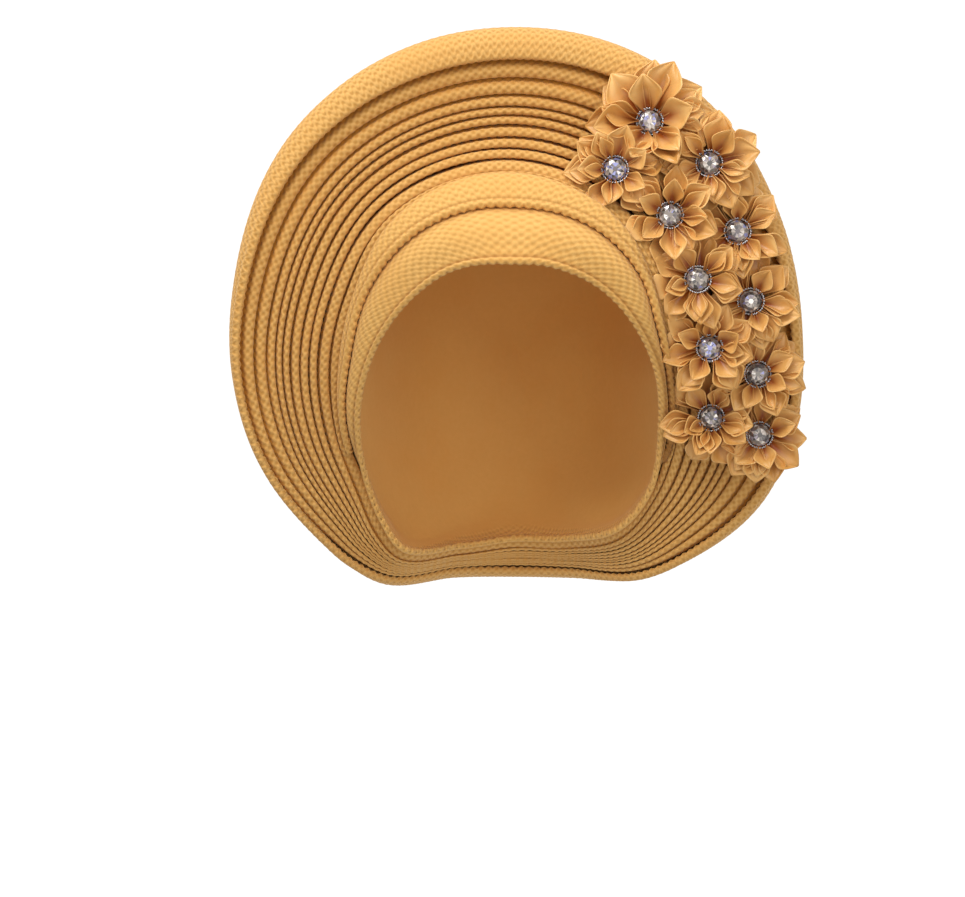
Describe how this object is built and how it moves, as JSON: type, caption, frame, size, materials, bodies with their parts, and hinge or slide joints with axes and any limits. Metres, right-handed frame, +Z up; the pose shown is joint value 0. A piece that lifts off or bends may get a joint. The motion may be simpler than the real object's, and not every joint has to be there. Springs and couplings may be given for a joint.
{
  "type": "tied gele head tie",
  "caption": "Pleated cloth head tie with a wide round fan round the face, two forehead bands and a spray of ribbon flowers with stones.",
  "frame": {"origin": "underside of the cap at the crown, where the wearer's head carries it", "axes": "+Z up, -Y the way that the face looks, +X to a viewer's right"},
  "size_m": [0.2716, 0.1982, 0.265],
  "materials": {
    "ribbed_cloth": "golden ochre cloth with a small raised diamond weave",
    "ribbon": "golden satin ribbon",
    "setting_metal": "silvered beaded setting",
    "crystal": "clear cut crystal with a silvered back"
  },
  "bodies": {
    "root": {"cap": "ribbed_cloth", "upper_band": "ribbed_cloth", "outer_wrap": "ribbed_cloth", "pleat_1": "ribbed_cloth", "pleat_2": "ribbed_cloth", "pleat_3": "ribbed_cloth", "pleat_4": "ribbed_cloth", "pleat_5": "ribbed_cloth", "pleat_6": "ribbed_cloth", "pleat_7": "ribbed_cloth", "pleat_8": "ribbed_cloth", "pleat_9": "ribbed_cloth", "pleat_10": "ribbed_cloth", "flower_1": "ribbon", "setting_1": "setting_metal", "stone_1": "crystal", "flower_2": "ribbon", "setting_2": "setting_metal", "stone_2": "crystal", "flower_3": "ribbon", "setting_3": "setting_metal", "stone_3": "crystal", "flower_4": "ribbon", "setting_4": "setting_metal", "stone_4": "crystal", "flower_5": "ribbon", "setting_5": "setting_metal", "stone_5": "crystal", "flower_6": "ribbon", "setting_6": "setting_metal", "stone_6": "crystal", "flower_7": "ribbon", "setting_7": "setting_metal", "stone_7": "crystal", "flower_8": "ribbon", "setting_8": "setting_metal", "stone_8": "crystal", "flower_9": "ribbon", "setting_9": "setting_metal", "stone_9": "crystal", "flower_10": "ribbon", "setting_10": "setting_metal", "stone_10": "crystal", "flower_11": "ribbon", "setting_11": "setting_metal", "stone_11": "crystal"}
  },
  "joints": []
}
